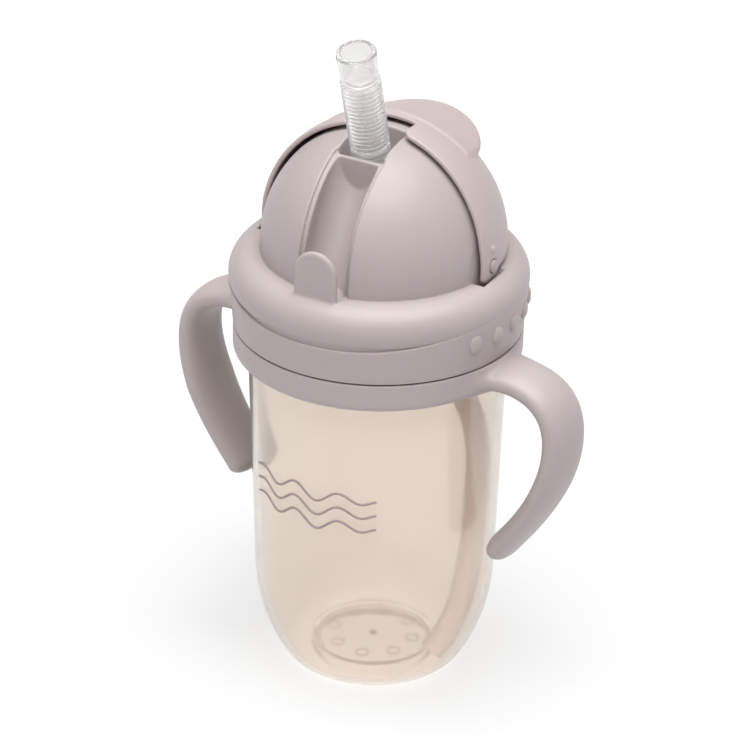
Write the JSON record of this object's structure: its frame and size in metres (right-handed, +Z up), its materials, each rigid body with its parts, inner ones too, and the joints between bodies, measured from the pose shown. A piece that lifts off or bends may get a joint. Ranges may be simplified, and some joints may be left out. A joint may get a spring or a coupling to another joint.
{
  "type": "sippy cup",
  "caption": "Toddler's straw cup: translucent round-bottomed bottle, turning ring with two handles, screw-on domed lid, flip cover and folding silicone straw.",
  "frame": {"origin": "on the table under the bottle's axis, at the middle of the ring that the bottle stands on", "axes": "+Z up along the bottle's axis; -Y is the drinking side, where the straw leans; +X runs along the flip cover's pivots"},
  "size_m": [0.122, 0.0794, 0.1851],
  "materials": {
    "bottle": "clear tinted plastic, slightly frosted",
    "lid_plastic": "satin",
    "cover_plastic": "satin",
    "straw_silicone": "clear matt silicone",
    "seal_silicone": "clear matt silicone"
  },
  "bodies": {
    "bottle": {"bottle_body": "bottle"},
    "handles": {"handle_ring": "lid_plastic", "left_handle": "lid_plastic", "right_handle": "lid_plastic"},
    "seal": {"lid_seal": "seal_silicone"},
    "lid": {"lid_body": "lid_plastic", "vent_valve": "seal_silicone", "left_pivot_pin": "lid_plastic", "right_pivot_pin": "lid_plastic", "straw_base": "straw_silicone", "straw_bellows": "straw_silicone", "straw_tube": "straw_silicone"},
    "cover": {"flip_cover": "cover_plastic"},
    "straw_top": {"straw_mouthpiece": "straw_silicone", "straw_slit_valve": "straw_silicone"}
  },
  "joints": [
    {"name": "handle_turn", "type": "hinge", "parent": "bottle", "child": "handles", "pos_m": [0, 0, 0.098], "axis": [0, 0, 1], "continuous": true},
    {"name": "lid_lift", "type": "slide", "parent": "bottle", "child": "seal", "axis": [0, 0, 1], "range_m": [0, 0.006]},
    {"name": "lid_turn", "type": "hinge", "parent": "seal", "child": "lid", "pos_m": [0, 0, 0.108], "axis": [0, 0, 1], "range_deg": [0, 541]},
    {"name": "cover_flip", "type": "hinge", "parent": "lid", "child": "cover", "pos_m": [0, 0, 0.1255], "axis": [1, 0, 0], "range_deg": [0, 72]},
    {"name": "straw_bend", "type": "hinge", "parent": "lid", "child": "straw_top", "pos_m": [0, -0.009, 0.1569], "axis": [1, 0, 0], "range_deg": [0, 135], "deforming": ["straw_bellows", "straw_mouthpiece", "straw_slit_valve"]}
  ],
  "couplings": [
    {"joint": "lid_turn", "follows": "lid_lift", "rad_per_m": 1570.8},
    {"joint": "straw_bend", "follows": "cover_flip", "ratio": 1.8528}
  ]
}
